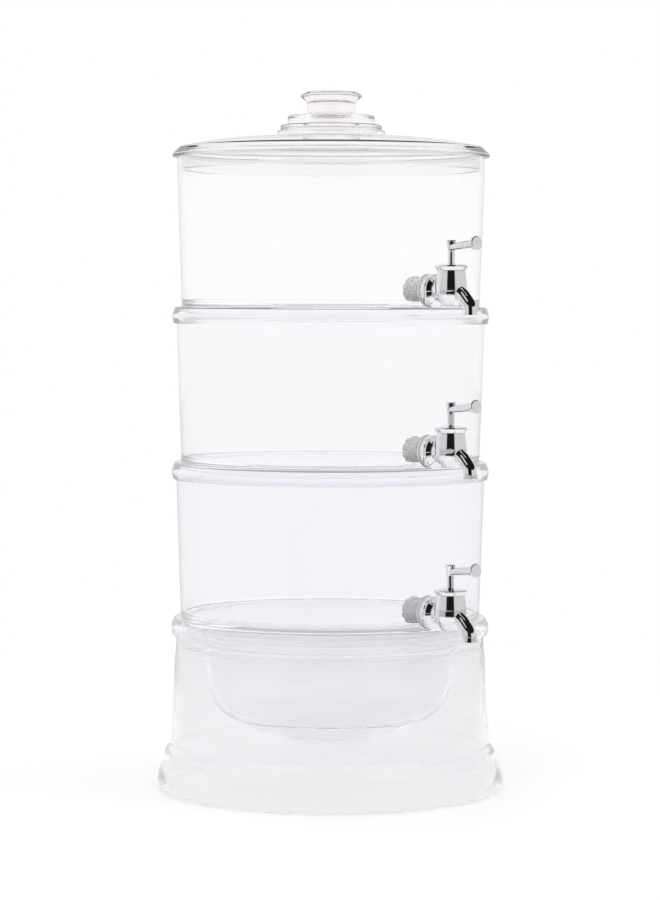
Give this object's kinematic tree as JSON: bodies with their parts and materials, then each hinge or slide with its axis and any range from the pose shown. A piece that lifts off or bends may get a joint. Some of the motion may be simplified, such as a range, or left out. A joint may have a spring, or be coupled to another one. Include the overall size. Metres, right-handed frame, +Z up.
{
  "type": "tiered beverage dispenser",
  "caption": "Clear stacked drink dispenser: round tanks with lift-off collars, metal taps with turning levers, a domed lid with a knob, and a flared stand with an ice bowl.",
  "frame": {"origin": "centre of the stand's foot ring, on the surface that it stands on", "axes": "+Z up along the stack's axis; the taps point along -Y"},
  "size_m": [0.2592, 0.2921, 0.521],
  "materials": {
    "clear_acrylic": "clear, polished, water-clear moulded plastic",
    "chrome": "bright polished plating",
    "washer_silicone": "soft milky silicone",
    "nut_plastic": "milky translucent moulded plastic",
    "valve_plastic": "plain white moulded plastic",
    "seal_rubber": "black rubber"
  },
  "bodies": {
    "stand": {"stand": "clear_acrylic"},
    "ice_bowl": {"ice_bowl": "clear_acrylic"},
    "bottom_tank": {"bottom_tank": "clear_acrylic", "bottom_tap_body": "chrome", "bottom_tap_bonnet": "chrome", "bottom_tap_outer_washer": "washer_silicone", "bottom_tap_inner_washer": "washer_silicone", "bottom_tap_inner_nut": "nut_plastic"},
    "bottom_valve": {"bottom_tap_core": "valve_plastic", "bottom_tap_core_seal": "seal_rubber", "bottom_tap_lever": "chrome"},
    "middle_tank": {"middle_tank": "clear_acrylic", "middle_tap_body": "chrome", "middle_tap_bonnet": "chrome", "middle_tap_outer_washer": "washer_silicone", "middle_tap_inner_washer": "washer_silicone", "middle_tap_inner_nut": "nut_plastic"},
    "middle_valve": {"middle_tap_core": "valve_plastic", "middle_tap_core_seal": "seal_rubber", "middle_tap_lever": "chrome"},
    "top_tank": {"top_tank": "clear_acrylic", "top_tap_body": "chrome", "top_tap_bonnet": "chrome", "top_tap_outer_washer": "washer_silicone", "top_tap_inner_washer": "washer_silicone", "top_tap_inner_nut": "nut_plastic"},
    "top_valve": {"top_tap_core": "valve_plastic", "top_tap_core_seal": "seal_rubber", "top_tap_lever": "chrome"},
    "lid": {"lid": "clear_acrylic", "lid_knob": "clear_acrylic"}
  },
  "joints": [
    {"name": "bowl_lift", "type": "slide", "parent": "stand", "child": "ice_bowl", "axis": [0, 0, 1], "range_m": [0, 0.004]},
    {"name": "bottom_lift", "type": "slide", "parent": "stand", "child": "bottom_tank", "axis": [0, 0, 1], "range_m": [0, 0.04]},
    {"name": "bottom_valve_turn", "type": "hinge", "parent": "bottom_tank", "child": "bottom_valve", "pos_m": [0, -0.13475, 0.1391], "axis": [0, 0, 1], "range_deg": [0, 90]},
    {"name": "middle_lift", "type": "slide", "parent": "bottom_tank", "child": "middle_tank", "axis": [0, 0, 1], "range_m": [0, 0.04]},
    {"name": "middle_valve_turn", "type": "hinge", "parent": "middle_tank", "child": "middle_valve", "pos_m": [0, -0.13475, 0.2551], "axis": [0, 0, 1], "range_deg": [0, 90]},
    {"name": "top_lift", "type": "slide", "parent": "middle_tank", "child": "top_tank", "axis": [0, 0, 1], "range_m": [0, 0.04]},
    {"name": "top_valve_turn", "type": "hinge", "parent": "top_tank", "child": "top_valve", "pos_m": [0, -0.13475, 0.3711], "axis": [0, 0, 1], "range_deg": [0, 90]},
    {"name": "lid_lift", "type": "slide", "parent": "top_tank", "child": "lid", "axis": [0, 0, 1], "range_m": [0, 0.04]}
  ]
}
